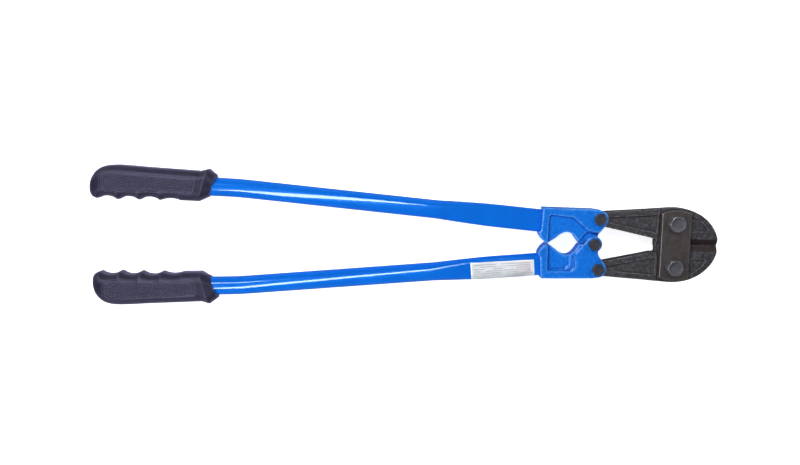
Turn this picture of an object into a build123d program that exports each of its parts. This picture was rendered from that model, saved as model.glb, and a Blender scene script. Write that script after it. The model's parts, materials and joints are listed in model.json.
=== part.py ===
from build123d import *
import os
from math import cos, hypot, radians, sin, tan

# Bolt cutters of the 750 mm class, closed. X runs along the tool with the jaws at +X, Y runs
# across it, and Z is up when the tool lies flat on its nuts and grips. Everything is drawn
# about the mid-plane of the jaws, then lifted onto the floor and centred along X when written.

# ---------------------------------------------------------------- driving dimensions (mm)
NOSE_X = 376.0
BUTT_X = -371.0

# Pivots of the upper half. The lower half is its mirror image in the XZ plane.
CENTRE = (227.5, 0.0)
LINK = (233.0, 30.2)
STRAP_PIVOT = (323.7, 26.2)

PARTING = 0.15
EDGE_GAP = 0.05
RUNNING = 0.05
SIDE_CLEARANCE = 0.3

# Jaws
TAIL_HALF = 7.0
HEAD_HALF = 6.0
TAIL_END_R = 8.0
HEEL_X = 301.0
SHOULDER_X = 304.3
SHOULDER_LEAN = 0.15
HEAD_CENTRE_X = 323.5
HEAD_RX = NOSE_X - HEAD_CENTRE_X
HEAD_RY = 44.9
BEVEL_START_X = 337.0
BEVEL_WIDTH = 7.8
TAIL_POCKET_DEPTH = 1.8
NOSE_POCKET_DEPTH = 1.5

# Heel joint: the upper jaw is forked over a tongue on the lower jaw
TONGUE_HALF = 4.35
FORK_HALF = 4.5

# Strap plates and their M12 bolts
STRAP_T = 4.5
STRAP_WIDTH = 35.4
STRAP_R = 42.5
STRAP_IN = HEAD_HALF + RUNNING
STRAP_OUT = STRAP_IN + STRAP_T
M12_R = 6.0
M12_FLATS = 18.0
M12_HEAD = 7.5
M12_NUT = 6.0

# Brackets and their M8 bolts
BRACKET_HALF = 10.5
BOSS_R = 10.4
M8_R = 4.0
M8_FLATS = 13.0
M8_HEAD = 5.3
M8_NUT = 4.0
M8_WASHER = 1.6
M8_WASHER_R = 8.0
SHANK_SHORT = 0.3

# Centre pivot: a lug on the upper bracket between the ears of the lower one. Its hole is
# oversize because the linkage is opened at this pivot.
LUG_HALF = 6.0
LUG_R = 9.4
LUG_HOLE_R = 7.5
EAR_R = 9.9
EAR_IN = LUG_HALF + SIDE_CLEARANCE
LUG_DRIFT = 3.4

# Handle tubes
TUBE_OD = 22.0
TUBE_WALL = 2.0
TUBE_SLOPE = 5.17
TUBE_REF = (32.0, 38.2)
TUBE_FLAT = 0.05
FLAT_WIDTH = 27.3
FLAT_THICK = 12.5
FLATTEN_FROM_X = 40.0
FLATTEN_TO_X = 105.0
SOCKET_END_X = 179.0
BEND_X = -196.0
BEND_R = 400.0
GRIP_SLOPE = 1.8
TUBE_END_X = -358.0

# A roll pin through the back of each bracket holds the flattened end of the tube.
PIN_R = 2.5
PIN_WALL = 1.0
PIN_X = 172.5
PIN_TOP = 5.5
PIN_SUNK = 2.3

# Grips
GRIP_HALF = 16.5
GRIP_END_X = -221.0
GRIP_ROUND_R = 12.0
GRIP_INNER_Y = 43.2
# Finger grooves, from the butt: middle and depth of each, and the length that one takes up
GROOVE_XS = (-350.3, -325.2, -300.2, -275.2)
GROOVE_DEPTHS = (4.2, 4.0, 3.8, 2.4)
GROOVE_SPAN = 23.4

LIFT = STRAP_OUT + M12_NUT
MIDDLE_X = (NOSE_X + BUTT_X) / 2
FAR = 60.0


# ---------------------------------------------------------------- helpers
def outline(points, radius=0.0):
    """A flat closed outline through corner points, with rounded corners."""
    return make_face(FilletPolyline(*points, radius=radius, close=True))


def slab(face, low, high):
    """A flat outline given height from low to high."""
    return Pos(0, 0, low) * extrude(face, high - low, dir=(0, 0, 1))


def both_faces(face, inner, outer):
    """The same layer on the front and on the back of the mid-plane."""
    return slab(face, inner, outer) + slab(face, -outer, -inner)


def disc(centre, radius, low, high):
    return Pos(centre[0], centre[1], low) * extrude(Circle(radius), high - low, dir=(0, 0, 1))


def lower(part):
    """The mirror image below the centre line."""
    return mirror(part, about=Plane.XZ)


def block(x_low, x_high, y_low, y_high, z_low, z_high):
    size = (x_high - x_low, y_high - y_low, z_high - z_low)
    middle = ((x_low + x_high) / 2, (y_low + y_high) / 2, (z_low + z_high) / 2)
    return Pos(*middle) * Box(*size)


def ray(start, angle, distance):
    return (start[0] + distance * cos(radians(angle)), start[1] + distance * sin(radians(angle)))


# ---------------------------------------------------------------- jaws
def jaw_outline():
    """Tail, head and half ellipse nose, with a rolling pad beside the strap pivot."""
    outer_angle = 5.4
    inner_angle = -12.2
    outer_start = ray(LINK, 90 + outer_angle, TAIL_END_R)
    inner_start = ray(LINK, -90 + inner_angle, TAIL_END_R)
    far_left = ray(LINK, 180, TAIL_END_R)
    heel_y = inner_start[1] + (HEEL_X - inner_start[0]) * tan(radians(inner_angle))
    pad_r = STRAP_PIVOT[1] - PARTING
    pad_left = ray(STRAP_PIVOT, -104, pad_r)
    pad_low = ray(STRAP_PIVOT, -90, pad_r)
    pad_right = ray(STRAP_PIVOT, -81, pad_r)
    outer_end = (HEAD_CENTRE_X - 22.0, 43.4)
    nose = EllipticalCenterArc(
        (HEAD_CENTRE_X, 0), HEAD_RX, HEAD_RY, start_angle=0, arc_size=90
    )
    edges = [
        ThreePointArc(outer_start, far_left, inner_start),
        Line(inner_start, (HEEL_X, heel_y)),
        Line((HEEL_X, heel_y), (HEEL_X, 4.2)),
        Line((HEEL_X, 4.2), pad_left),
        ThreePointArc(pad_left, pad_low, pad_right),
        Line(pad_right, (BEVEL_START_X, 1.0)),
        Line((BEVEL_START_X, 1.0), (BEVEL_START_X, 0)),
        Line((BEVEL_START_X, 0), (NOSE_X, 0)),
        nose,
        Spline((HEAD_CENTRE_X, HEAD_RY), outer_end, outer_start,
               tangents=[(-1, 0), (-cos(radians(outer_angle)), -sin(radians(outer_angle)))]),
    ]
    return make_face(edges)


def tail_pocket():
    corners = [(241.5, 27.2), (241.5, 31.4), (301.3, 35.7), (301.3, 15.3)]
    face = outline(corners, 0.9)
    return both_faces(face, TAIL_HALF - TAIL_POCKET_DEPTH, TAIL_HALF + 1)


def nose_pocket():
    """A shallow field in the nose that runs under the strap."""
    field = Pos(HEAD_CENTRE_X, 0) * Ellipse(HEAD_RX - 8.5, HEAD_RY - 5.9)
    window = outline([(334.0, 17.3), (334.0, 50.0), (375.0, 50.0), (375.0, 17.3)])
    face = field & window
    face = fillet(face.vertices().sort_by(Axis.X)[-1], 1.5)
    return both_faces(face, HEAD_HALF - NOSE_POCKET_DEPTH, HEAD_HALF + 1)


def cutting_bevel():
    """The wedge ground off each face so that the edge lies in the mid-plane."""
    top = HEAD_HALF + 1
    land = 0.15
    slope = (HEAD_HALF - land) / (BEVEL_WIDTH - EDGE_GAP)
    reach = EDGE_GAP + (top - land) / slope
    section = make_face(Polyline((-5, land), (EDGE_GAP, land), (reach, top), (-5, top), close=True))
    cut = Pos(BEVEL_START_X, 0, 0) * extrude(Plane.YZ * section, NOSE_X - BEVEL_START_X + 5)
    edge_gap = block(BEVEL_START_X, NOSE_X + 5, -5, EDGE_GAP, -0.2, 0.2)
    return cut + mirror(cut, about=Plane.XY) + edge_gap


def thick_zone(low_y, high_y):
    """Where the tail is thicker than the head. Its right side leans away from the strap plates,
    because the jaw turns towards them there as it opens."""
    lean_y = STRAP_PIVOT[1] - 10.0
    foot_x = SHOULDER_X - (lean_y - low_y) * SHOULDER_LEAN
    left_x = LINK[0] - 2 * TAIL_END_R
    corners = [(left_x, low_y), (foot_x, low_y), (SHOULDER_X, lean_y), (SHOULDER_X, high_y), (left_x, high_y)]
    return outline(corners)


def plain_jaw():
    face = jaw_outline()
    body = slab(face, -HEAD_HALF, HEAD_HALF)
    tail = slab(face, -TAIL_HALF, TAIL_HALF)
    body += tail & slab(thick_zone(0, FAR), -TAIL_HALF, TAIL_HALF)
    body -= tail_pocket() + nose_pocket() + cutting_bevel()
    body -= disc(LINK, M8_R + RUNNING, -20, 20)
    body -= disc(STRAP_PIVOT, M12_R + RUNNING, -20, 20)
    return body


def jaw_upper():
    """The upper heel is slotted for the tongue, and its two cheeks lap the lower heel."""
    jaw = plain_jaw()
    cheek = outline([(HEEL_X, 6.0), (308.0, 6.0), (308.0, -1.5), (HEEL_X, -1.5)], 0.5)
    jaw += both_faces(cheek, FORK_HALF, HEAD_HALF)
    heel = outline([(HEEL_X, 6.0), (SHOULDER_X, 6.0), (SHOULDER_X, -1.5), (HEEL_X, -1.5)])
    jaw += both_faces(heel & thick_zone(-1.5, FAR), HEAD_HALF - 0.5, TAIL_HALF)
    return jaw - block(HEEL_X - 3, 311.8, -3, 11.6, -FORK_HALF, FORK_HALF)


def jaw_lower():
    """The lower heel carries the tongue, with room above and below it for the cheeks."""
    jaw = plain_jaw()
    tongue = outline([(HEEL_X, 6.0), (309.0, 6.0), (309.0, -5.0), (HEEL_X, -5.0)], 0.8)
    jaw -= both_faces(outline([(297, -3), (312, -3), (312, 8.6), (297, 8.6)]), TONGUE_HALF, 20)
    jaw += slab(tongue, -TONGUE_HALF, TONGUE_HALF)
    return lower(jaw)


# ---------------------------------------------------------------- strap plates
def strap():
    middle = Pos(STRAP_PIVOT[0] + 0.2, 0)
    face = middle * (Circle(STRAP_R) & Rectangle(STRAP_WIDTH, 2 * STRAP_R))
    plate = slab(face, STRAP_IN, STRAP_OUT)
    plate = chamfer(plate.edges().group_by(Axis.Z)[-1], 0.7)
    for side in (1, -1):
        plate -= disc((STRAP_PIVOT[0], side * STRAP_PIVOT[1]), M12_R + RUNNING, 0, 20)
    return plate


# ---------------------------------------------------------------- bolts, washers and nuts
def hexagon(flats, height, chamfered_top=True):
    """A hexagon with corners along X, its top corners turned off, standing on Z = 0."""
    corners = flats / cos(radians(30))
    prism = extrude(RegularPolygon(flats / 2, 6, major_radius=False), height, dir=(0, 0, 1))
    if not chamfered_top:
        return prism
    turned = Pos(0, 0, height / 2) * Cylinder(corners / 2, height)
    cut = (corners - flats) / 2 + 0.4
    top = turned.edges().group_by(Axis.Z)[-1]
    return prism & chamfer(top, cut * tan(radians(30)), cut)


def bolt(pivot, radius, flats, head, seat, end):
    """A hexagon head bolt dropped in from the front: head on seat, shank down to end."""
    solid = Pos(pivot[0], pivot[1], seat) * hexagon(flats, head)
    shank = disc(pivot, radius, end, seat + 0.5)
    return solid + chamfer(shank.edges().group_by(Axis.Z)[0], 0.6)


def nut(pivot, radius, flats, height, seat):
    solid = Pos(pivot[0], pivot[1], seat) * mirror(hexagon(flats, height), about=Plane.XY)
    return solid - disc(pivot, radius + RUNNING, seat - height - 1, seat + 1)


def washer(pivot, seat):
    ring = disc(pivot, M8_WASHER_R, seat - M8_WASHER, seat)
    return ring - disc(pivot, M8_R + RUNNING, seat - 5, seat + 1)


# ---------------------------------------------------------------- handle tubes
def tube_axis_y(x):
    return TUBE_REF[1] - (x - TUBE_REF[0]) * tan(radians(TUBE_SLOPE))


def tube_section(x, width, thickness):
    """A stadium across the tube axis at x: a circle where the tube is round."""
    plane = Plane(
        origin=(x, tube_axis_y(x), 0),
        x_dir=(sin(radians(TUBE_SLOPE)), cos(radians(TUBE_SLOPE)), 0),
        z_dir=(cos(radians(TUBE_SLOPE)), -sin(radians(TUBE_SLOPE)), 0),
    )
    return plane * SlotOverall(width, thickness)


def tube_solid(offset, end_x=TUBE_END_X, socket_x=SOCKET_END_X):
    """The tube's envelope grown by offset on every side."""
    grow = 2 * offset
    round_width = TUBE_OD + TUBE_FLAT + grow
    round_section = tube_section(FLATTEN_FROM_X, round_width, TUBE_OD + grow)
    bend = (BEND_X, tube_axis_y(BEND_X), 0)
    end_y = bend[1] + (BEND_X - end_x) * tan(radians(GRIP_SLOPE))
    start = (FLATTEN_FROM_X, tube_axis_y(FLATTEN_FROM_X), 0)
    path = FilletPolyline(start, bend, (end_x, end_y, 0), radius=BEND_R)
    tube = sweep(round_section, path)
    middle_x = (FLATTEN_FROM_X + FLATTEN_TO_X) / 2
    middle_width = (TUBE_OD + FLAT_WIDTH) / 2 + 0.5 + grow
    middle_thick = (TUBE_OD + FLAT_THICK) / 2 + grow
    flat_section = tube_section(FLATTEN_TO_X, FLAT_WIDTH + grow, FLAT_THICK + grow)
    tube += loft([
        round_section,
        tube_section(middle_x, middle_width, middle_thick),
        flat_section,
    ])
    reach = (socket_x - FLATTEN_TO_X) / cos(radians(TUBE_SLOPE))
    return tube + extrude(flat_section, reach)


PIN_POINT = (PIN_X, tube_axis_y(PIN_X))


def handle_tube():
    tube = tube_solid(0) - tube_solid(-TUBE_WALL, TUBE_END_X - 5, SOCKET_END_X + 5)
    return tube - disc(PIN_POINT, PIN_R + RUNNING, -12, PIN_TOP + 1)


def retaining_pin():
    pin = disc(PIN_POINT, PIN_R, -BRACKET_HALF + PIN_SUNK, PIN_TOP)
    pin = chamfer(pin.edges().filter_by(GeomType.CIRCLE), 0.4)
    return pin - disc(PIN_POINT, PIN_R - PIN_WALL, -20, 20)


# ---------------------------------------------------------------- brackets
def base_outline():
    """The outline both brackets share, above the parting line."""
    window = Spline(
        (210.0, PARTING), (206.1, 6.2), (201.3, 11.4), (195.6, 13.5), (189.2, 11.8),
        (181.2, 5.8), (174.0, 0.9),
        tangents=[(-0.6, 1), (-1, -0.75)],
    )
    bump = Spline(
        (170.0, 0.6), (165.0, 5.2), (162.0, 10.4), (161.5, 14.0),
        tangents=[(-1, 0.7), (0.3, 1)],
    )
    edges = [
        Line((165.6, 42.7), (163.9, 15.5)),
        Line((163.9, 15.5), (161.5, 14.0)),
        bump,
        ThreePointArc((174.0, 0.9), (172.0, PARTING), (170.0, 0.6)),
        window,
        Polyline((210.0, PARTING), (226.0, PARTING), (232.6, 8.5), (233.8, 13.6), (241.6, 23.8),
                 (233.0, 40.6), (226.0, 41.6), (165.6, 42.7)),
    ]
    return make_face(edges) + Pos(*LINK) * Circle(BOSS_R)


def fork_slot():
    """Room for the jaw tail: a round seat that opens outwards as far as the handle swings."""
    seat_r = TAIL_END_R + 0.5
    low_angle = -12.5
    high_angle = 67.0
    corners = [
        LINK,
        ray(LINK, low_angle - 90, seat_r),
        ray(ray(LINK, low_angle - 90, seat_r), low_angle, FAR),
        ray(LINK, 20, 1.6 * FAR),
        ray(ray(LINK, high_angle + 90, seat_r), high_angle, FAR),
        ray(LINK, high_angle + 90, seat_r),
    ]
    face = outline(corners) + Pos(*LINK) * Circle(seat_r)
    return slab(face, -TAIL_HALF - 0.2, TAIL_HALF + 0.2)


def plain_bracket(face):
    return slab(face, -BRACKET_HALF, BRACKET_HALF)


def finish_bracket(body):
    """Socket, fork slot and holes that both brackets have."""
    body -= tube_solid(RUNNING, end_x=-250.0, socket_x=SOCKET_END_X + RUNNING)
    body -= fork_slot()
    body -= disc(LINK, M8_R + RUNNING, -20, 20)
    return body - disc(PIN_POINT, PIN_R + RUNNING, -20, 0)


def bracket_upper():
    """Pocketed on both faces, with the centre lug in the middle of its thickness."""
    face = base_outline()
    body = plain_bracket(face)
    pocket = outline(
        [(172.5, -3), (173.6, 34.3), (201.5, 31.9), (219.5, 16.2), (240, 12), (240, -3)],
        [0, 2.0, 4.0, 2.0, 0, 0],
    )
    body -= both_faces(pocket, BRACKET_HALF - 2.0, 20)
    step = outline([(207.5, -3), (210.0, 3.6), (219.0, 14.8), (240.0, 11.5), (240.0, -3)],
                   [0, 1.5, 1.5, 0, 0])
    body -= both_faces(step, LUG_HALF, 20)
    body += disc(CENTRE, LUG_R, -LUG_HALF, LUG_HALF)
    body -= disc(CENTRE, LUG_HOLE_R, -20, 20)
    return finish_bracket(body)


def bracket_lower():
    """Pocketed on both faces, with ears either side of the centre lug.

    The slot between the ears leaves the lug room to drift as the handles open."""
    body = plain_bracket(base_outline())
    strip = outline(
        [(172.5, -3), (173.4, 33.2), (201.5, 32.6), (206.0, 29.0), (206.0, 11.3), (213.0, 3.2), (213.0, -3)],
        [0, 2.0, 2.0, 3.0, 1.0, 0, 0],
    )
    pocket = outline([(173.5, -3), (174.3, 31.6), (193.5, 30.4), (198.8, 25.6), (198.8, -3)],
                     [0, 2.0, 2.5, 2.5, 0])
    body -= both_faces(strip, BRACKET_HALF - 1.3, 20)
    body -= both_faces(pocket, BRACKET_HALF - 2.6, 20)
    ear = outline([(206.0, 11.3), (213.8, 2.2), (220.2, -6.6), CENTRE, (232.6, 8.5), (220.0, 14.0)])
    ear += Pos(*CENTRE) * Circle(EAR_R)
    body -= disc(CENTRE, LUG_R + LUG_DRIFT + SIDE_CLEARANCE, -EAR_IN, EAR_IN)
    body += both_faces(ear, EAR_IN, BRACKET_HALF)
    body -= disc(CENTRE, M8_R + RUNNING, -20, 20)
    return lower(finish_bracket(body))


# ---------------------------------------------------------------- grips
def grip_section(inner, outer, half, corner):
    """A rounded section across the grip, standing on the line from inner to outer point."""
    width = hypot(outer[0] - inner[0], outer[1] - inner[1])
    across = ((outer[0] - inner[0]) / width, (outer[1] - inner[1]) / width, 0)
    middle = ((inner[0] + outer[0]) / 2, (inner[1] + outer[1]) / 2, 0)
    plane = Plane(origin=middle, x_dir=across, z_dir=(across[1], -across[0], 0))
    return plane * RectangleRounded(width, 2 * half, corner)


def grip():
    """Smooth outside, four finger grooves inside, rounded butt and a slanted flared collar."""
    butt = [
        ((BUTT_X, 51.5), (BUTT_X, 60.0), 5.0, 4.0),
        ((BUTT_X + 1.2, 48.3), (BUTT_X + 1.2, 66.0), 10.0, 7.0),
        ((BUTT_X + 4.5, 45.4), (BUTT_X + 4.5, 72.2), 13.4, 9.0),
        ((BUTT_X + 9.5, 43.9), (BUTT_X + 9.5, 77.8), 15.5, 10.5),
        ((BUTT_X + 17.0, 43.3), (BUTT_X + 17.0, 82.0), 16.3, 11.7),
    ]
    hold = [
        ((x, GRIP_INNER_Y), (x, outer), GRIP_HALF, GRIP_ROUND_R)
        for x, outer in ((-347.0, 83.8), (-336.0, 84.1), (-300.0, 81.8), (-262.0, 79.7))
    ]
    collar = [
        ((-248.0, 42.7), (-240.0, 78.4), GRIP_HALF - 0.6, GRIP_ROUND_R),
        ((-241.6, 42.5), (-230.6, 81.2), GRIP_HALF, GRIP_ROUND_R),
        ((-229.8, 48.0), (GRIP_END_X, 74.0), 12.6, GRIP_ROUND_R),
    ]
    body = loft([grip_section(*station) for station in butt + hold + collar], ruled=True)
    for x, depth in zip(GROOVE_XS, GROOVE_DEPTHS):
        radius = ((GROOVE_SPAN / 2) ** 2 + depth**2) / (2 * depth)
        body -= disc((x, GRIP_INNER_Y + depth - radius), radius, -2 * GRIP_HALF, 2 * GRIP_HALF)
    return body - tube_solid(RUNNING, end_x=TUBE_END_X - RUNNING)


# ---------------------------------------------------------------- label
def label():
    """A foil label on the front of the lower tube, wrapped over its outer edge."""
    foil = tube_solid(0.3) - tube_solid(0.04)
    field = outline([(82.0, 25.5), (158.0, 20.0), (158.0, 60.0), (82.0, 60.0)], [1.5, 1.5, 0, 0])
    return lower(foil & slab(field, -1.0, 20.0))


# ---------------------------------------------------------------- assembly
def mirrored(point):
    return (point[0], -point[1])


NUT_SEAT = -STRAP_OUT
WASHER_SEAT = -BRACKET_HALF
M8_NUT_SEAT = WASHER_SEAT - M8_WASHER
M12_END = NUT_SEAT - M12_NUT + SHANK_SHORT
M8_END = M8_NUT_SEAT - M8_NUT + SHANK_SHORT

nodes = {
    "jaw_upper": jaw_upper(),
    "jaw_lower": jaw_lower(),
    "strap_front": strap(),
    "strap_rear": mirror(strap(), about=Plane.XY),
    "bracket_upper": bracket_upper(),
    "bracket_lower": bracket_lower(),
    "tube_upper": handle_tube(),
    "tube_lower": lower(handle_tube()),
    "grip_upper": grip(),
    "grip_lower": lower(grip()),
    "retaining_pin_upper": retaining_pin(),
    "retaining_pin_lower": lower(retaining_pin()),
    "label": label(),
    "centre_bolt": bolt(CENTRE, M8_R, M8_FLATS, M8_HEAD, BRACKET_HALF, M8_END),
    "centre_washer": washer(CENTRE, WASHER_SEAT),
    "centre_nut": nut(CENTRE, M8_R, M8_FLATS, M8_NUT, M8_NUT_SEAT),
}
for side, place in (("upper", tuple), ("lower", mirrored)):
    strap_point = place(STRAP_PIVOT)
    link_point = place(LINK)
    nodes[f"strap_bolt_{side}"] = bolt(strap_point, M12_R, M12_FLATS, M12_HEAD, STRAP_OUT, M12_END)
    nodes[f"strap_nut_{side}"] = nut(strap_point, M12_R, M12_FLATS, M12_NUT, NUT_SEAT)
    nodes[f"link_bolt_{side}"] = bolt(link_point, M8_R, M8_FLATS, M8_HEAD, BRACKET_HALF, M8_END)
    nodes[f"link_washer_{side}"] = washer(link_point, WASHER_SEAT)
    nodes[f"link_nut_{side}"] = nut(link_point, M8_R, M8_FLATS, M8_NUT, M8_NUT_SEAT)

os.makedirs("parts", exist_ok=True)
for name, solid in nodes.items():
    lifted = Pos(-MIDDLE_X, 0, LIFT) * solid
    lifted.label = name
    export_step(lifted, f"parts/{name}.step")
    box = lifted.bounding_box()
    print(name, len(lifted.solids()), round(lifted.volume), box.min, box.max)
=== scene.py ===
import json
import math
from itertools import product

import bmesh
import bpy
import numpy as np
from mathutils import Matrix, Vector

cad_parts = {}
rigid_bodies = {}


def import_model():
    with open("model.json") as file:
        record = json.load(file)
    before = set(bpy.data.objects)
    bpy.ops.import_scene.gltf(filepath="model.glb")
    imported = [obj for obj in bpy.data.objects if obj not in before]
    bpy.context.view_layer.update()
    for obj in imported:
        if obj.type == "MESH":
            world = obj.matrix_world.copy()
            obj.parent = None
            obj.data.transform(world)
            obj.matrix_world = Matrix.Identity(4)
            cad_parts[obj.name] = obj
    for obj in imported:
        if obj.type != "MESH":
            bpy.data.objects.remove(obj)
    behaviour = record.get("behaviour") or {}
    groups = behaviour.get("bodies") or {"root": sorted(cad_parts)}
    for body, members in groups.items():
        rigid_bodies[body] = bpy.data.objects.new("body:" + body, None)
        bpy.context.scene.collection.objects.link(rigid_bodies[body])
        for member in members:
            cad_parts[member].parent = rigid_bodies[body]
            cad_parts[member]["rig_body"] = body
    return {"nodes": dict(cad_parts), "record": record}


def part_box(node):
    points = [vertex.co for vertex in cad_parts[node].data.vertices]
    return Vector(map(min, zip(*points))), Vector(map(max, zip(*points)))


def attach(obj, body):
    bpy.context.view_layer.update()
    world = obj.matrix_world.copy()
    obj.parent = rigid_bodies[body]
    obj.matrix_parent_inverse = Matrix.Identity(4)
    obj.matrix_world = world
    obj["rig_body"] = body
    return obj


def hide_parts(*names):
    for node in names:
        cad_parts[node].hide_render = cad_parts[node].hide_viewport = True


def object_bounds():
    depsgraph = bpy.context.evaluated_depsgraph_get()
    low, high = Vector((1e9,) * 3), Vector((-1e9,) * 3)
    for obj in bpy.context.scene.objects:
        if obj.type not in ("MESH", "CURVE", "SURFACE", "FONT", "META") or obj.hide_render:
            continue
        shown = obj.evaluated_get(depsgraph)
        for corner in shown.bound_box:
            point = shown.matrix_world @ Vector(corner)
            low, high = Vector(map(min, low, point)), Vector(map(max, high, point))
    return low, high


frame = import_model()
CAD_LOW, CAD_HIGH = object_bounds()
RECORD = frame["record"]
SLOT_OF = {part["node"]: part["material_slot"] for part in RECORD["subparts"]}
BODY_OF = {name: obj["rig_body"] for name, obj in frame["nodes"].items()}
MM = 0.001
WELD = 1e-6
MIX_SHARE, MIX_A, MIX_B, MIX_RESULT = 0, 6, 7, 2


def box_mm(node):
    """Lowest and highest corner of a CAD node, in millimetres."""
    low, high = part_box(node)
    return np.array(low) / MM, np.array(high) / MM


JAW_LOW, JAW_HIGH = box_mm("jaw_upper")
MID = (JAW_LOW[2] + JAW_HIGH[2]) / 2


# ------------------------------------------------------------------ mesh helpers
def adopt(obj, node):
    """The piece stands for one CAD node: same body, same slot."""
    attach(obj, BODY_OF[node])
    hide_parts(node)
    obj.data.materials.clear()
    obj.data.materials.append(MATERIALS[SLOT_OF[node]])
    return obj


def add_object(name, mesh):
    obj = bpy.data.objects.new(name, mesh)
    bpy.context.scene.collection.objects.link(obj)
    return obj


def get_points(mesh):
    co = np.empty(len(mesh.vertices) * 3, np.float32)
    mesh.vertices.foreach_get("co", co)
    return co.reshape(-1, 3).astype(float)


def set_points(mesh, co):
    mesh.vertices.foreach_set("co", co.astype(np.float32).ravel())
    mesh.update()


def get_edges(mesh):
    pairs = np.empty(len(mesh.edges) * 2, np.int32)
    mesh.edges.foreach_get("vertices", pairs)
    return pairs.reshape(-1, 2)


def neighbour_mean(values, pairs, count):
    """The mean over each vertex's neighbours."""
    a, b = pairs[:, 0], pairs[:, 1]
    degree = np.bincount(a, minlength=count) + np.bincount(b, minlength=count)
    columns = []
    for k in range(values.shape[1]):
        total = np.bincount(a, weights=values[b, k], minlength=count)
        total += np.bincount(b, weights=values[a, k], minlength=count)
        columns.append(total / np.maximum(degree, 1))
    return np.stack(columns, axis=1)


def fair(co, pairs, rounds):
    """Taubin smoothing: takes the steps out of a remesh without shrinking it."""
    for _ in range(rounds):
        for share in (0.5, -0.52):
            co = co + share * (neighbour_mean(co, pairs, len(co)) - co)
    return co


def value_noise(points, size, seed):
    """Smooth noise from -1 to 1 with features about size across."""
    cells = 32
    offset = 500.0
    table = np.random.default_rng(seed).random((cells, cells, cells))
    scaled = points / size + offset
    cell = np.floor(scaled).astype(int)
    part = scaled - cell
    part = part * part * (3 - 2 * part)
    total = np.zeros(len(points))
    for corner in product((0, 1), repeat=3):
        weight = np.ones(len(points))
        for k in range(3):
            weight = weight * (part[:, k] if corner[k] else 1 - part[:, k])
        index = tuple((cell[:, k] + corner[k]) % cells for k in range(3))
        total += weight * table[index]
    return 2 * total - 1


def fade(values, full, none):
    """1 at full and beyond it, 0 at none and beyond it, and even in between."""
    return np.clip((none - values) / (none - full), 0, 1)


def normals_of(mesh):
    normals = np.empty(len(mesh.vertices) * 3, np.float32)
    mesh.vertex_normals.foreach_get("vector", normals)
    return normals.reshape(-1, 3).astype(float)


def store(mesh, name, values):
    """Keeps one number for each vertex, for a material to read."""
    layer = mesh.attributes.get(name) or mesh.attributes.new(name, "FLOAT", "POINT")
    layer.data.foreach_set("value", values.astype(np.float32))


def stored(mesh, name):
    values = np.empty(len(mesh.vertices), np.float32)
    mesh.attributes[name].data.foreach_get("value", values)
    return values


def mark_edges(mesh, size, gain, rounds=3):
    """Stores how far each vertex stands out (edge) or lies in a hollow (hollow), 0 to 1."""
    co = get_points(mesh)
    pairs = get_edges(mesh)
    wide = co
    for _ in range(rounds):
        wide = neighbour_mean(wide, pairs, len(co))
    bulge = ((co - wide) * normals_of(mesh)).sum(1) / size * gain
    bulge = neighbour_mean(bulge[:, None], pairs, len(co))[:, 0]
    store(mesh, "edge", np.clip(bulge, 0, 1))
    store(mesh, "hollow", np.clip(-bulge, 0, 1))


def finish_mesh(mesh, sharp_degrees=None):
    mesh.shade_smooth()
    if sharp_degrees is not None:
        mesh.set_sharp_from_angle(angle=math.radians(sharp_degrees))


def grid_mesh(name, rings, closed=True, cap=False, flip=False):
    """A mesh from rings of points, all the same length, in millimetres. cap closes the first ring."""
    rings = np.asarray(rings, float)
    count, around, _ = rings.shape
    verts = rings.reshape(-1, 3) * MM
    faces = []
    for i in range(count - 1):
        for j in range(around if closed else around - 1):
            k = (j + 1) % around
            faces.append((i * around + j, i * around + k, (i + 1) * around + k, (i + 1) * around + j))
    if cap:
        faces.append(tuple(range(around))[::-1])
    if flip:
        faces = [face[::-1] for face in faces]
    mesh = bpy.data.meshes.new(name)
    mesh.from_pydata([tuple(v) for v in verts], [], faces)
    mesh.update()
    return mesh


def clean(mesh, weld=False, fill=False):
    """Turns all faces outwards, after welding doubled vertices or filling open edges if asked to."""
    work = bmesh.new()
    work.from_mesh(mesh)
    if weld:
        bmesh.ops.remove_doubles(work, verts=work.verts, dist=WELD)
    if fill:
        bmesh.ops.holes_fill(work, edges=[e for e in work.edges if e.is_boundary], sides=0)
    bmesh.ops.recalc_face_normals(work, faces=work.faces)
    work.to_mesh(mesh)
    work.free()


def clip_to_node(co, node):
    low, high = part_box(node)
    return np.clip(co, np.array(low), np.array(high))


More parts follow.
